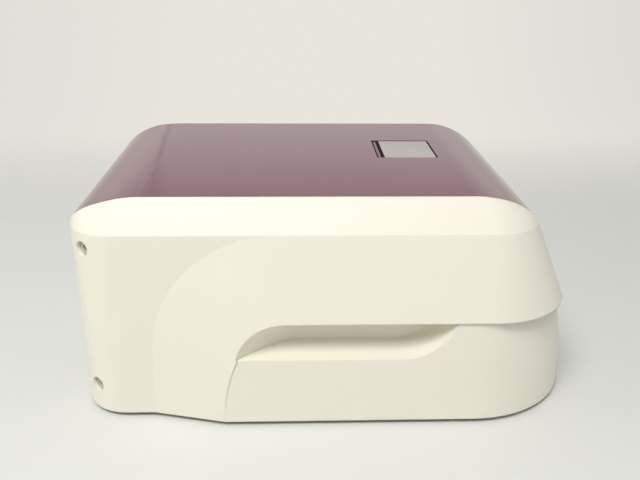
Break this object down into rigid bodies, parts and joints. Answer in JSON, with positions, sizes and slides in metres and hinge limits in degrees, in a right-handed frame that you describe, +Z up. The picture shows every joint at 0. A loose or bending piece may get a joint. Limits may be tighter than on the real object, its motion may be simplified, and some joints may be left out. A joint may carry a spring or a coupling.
{
  "type": "flow cytometer",
  "caption": "Compact benchtop flow cytometer with rounded white covers, a glossy curved top with a sample hatch, finger recesses, laser optics and fluid pumps inside.",
  "frame": {"origin": "on the bench under the middle of the body", "axes": "+X to the rounded nose, away from the connectors; +Y to the far side; +Z up"},
  "size_m": [0.4014, 0.2906, 0.181],
  "materials": {
    "alu": "bead blasted",
    "black_metal": "black anodised",
    "board": "solder resist",
    "brass": "turned",
    "clear": "polished",
    "cover": "satin, moulded",
    "dark": "fine matt",
    "glass": "polished",
    "gloss": "high gloss",
    "grey": "fine matt",
    "hatch": "fine matt",
    "rubber": "matt",
    "screw": "plain",
    "sheet": "fine texture paint",
    "steel": "fine brushed",
    "steel_bright": "ground",
    "tube": "silicone",
    "white_plastic": "smooth"
  },
  "bodies": {
    "housing": {"base_plate": "steel", "beam_lens": "glass", "board_capacitors": "grey", "board_chips": "dark", "board_headers": "white_plastic", "board_pillars": "brass", "collector_cell": "black_metal", "collector_lens": "glass", "corner_post_far": "alu", "corner_post_near": "alu", "cover_screws": "screw", "damping_posts": "rubber", "data_socket": "steel_bright", "dichroic_mirrors": "glass", "fan_frame": "dark", "fan_guard": "steel_bright", "feet": "rubber", "flow_cell": "glass", "flow_cell_holder": "black_metal", "fluid_ports": "white_plastic", "hatch_frame": "dark", "hatch_pin": "steel_bright", "inlet_pins": "brass", "laser_heat_sink": "alu", "laser_module": "black_metal", "lens_cell": "black_metal", "light_detectors": "grey", "main_board": "board", "mirror_posts": "alu", "nose_cover": "cover", "optics_plate": "black_metal", "panel_screws": "screw", "peristaltic_housing": "white_plastic", "peristaltic_motor": "steel", "power_inlet": "dark", "power_supply": "sheet", "probe_column": "alu", "pump_hose": "tube", "rear_panel": "sheet", "rocker_frame": "dark", "sample_rails": "steel_bright", "scatter_detector": "black_metal", "side_cover_far": "cover", "side_cover_near": "cover", "solenoid_valves": "dark", "station_frame": "alu", "syringe_barrel": "glass", "syringe_frame": "alu", "syringe_motor": "steel", "terminal_strip": "dark", "top_cover": "gloss", "valve_block": "clear"},
    "hatch": {"hatch_plate": "hatch"},
    "fan": {"fan_rotor": "dark"},
    "rocker": {"power_rocker": "dark"},
    "syringe": {"syringe_plunger": "steel_bright"},
    "carriage": {"sample_carriage": "white_plastic"},
    "probe": {"probe_arm": "dark", "sample_needle": "steel_bright"},
    "peristaltic": {"peristaltic_rotor": "grey"}
  },
  "joints": [
    {"name": "hatch_hinge", "type": "hinge", "parent": "housing", "child": "hatch", "pos_m": [0.04375, 0.018, 0.1786], "axis": [0, -1, 0], "range_deg": [0, 100]},
    {"name": "fan_spin", "type": "hinge", "parent": "housing", "child": "fan", "pos_m": [-0.18125, 0.05, 0.08], "axis": [1, 0, 0], "continuous": true},
    {"name": "power_rock", "type": "hinge", "parent": "housing", "child": "rocker", "pos_m": [-0.18475, -0.034, 0.037], "axis": [0, 1, 0], "range_deg": [0, 14]},
    {"name": "plunger_slide", "type": "slide", "parent": "housing", "child": "syringe", "axis": [1, 0, 0], "range_m": [0, 0.035]},
    {"name": "carriage_slide", "type": "slide", "parent": "housing", "child": "carriage", "axis": [0, -1, 0], "range_m": [0, 0.055]},
    {"name": "probe_slide", "type": "slide", "parent": "housing", "child": "probe", "axis": [0, 0, -1], "range_m": [0, 0.035]},
    {"name": "peristaltic_spin", "type": "hinge", "parent": "housing", "child": "peristaltic", "pos_m": [0.134, 0.038, 0.05], "axis": [0, 0, 1], "continuous": true}
  ]
}
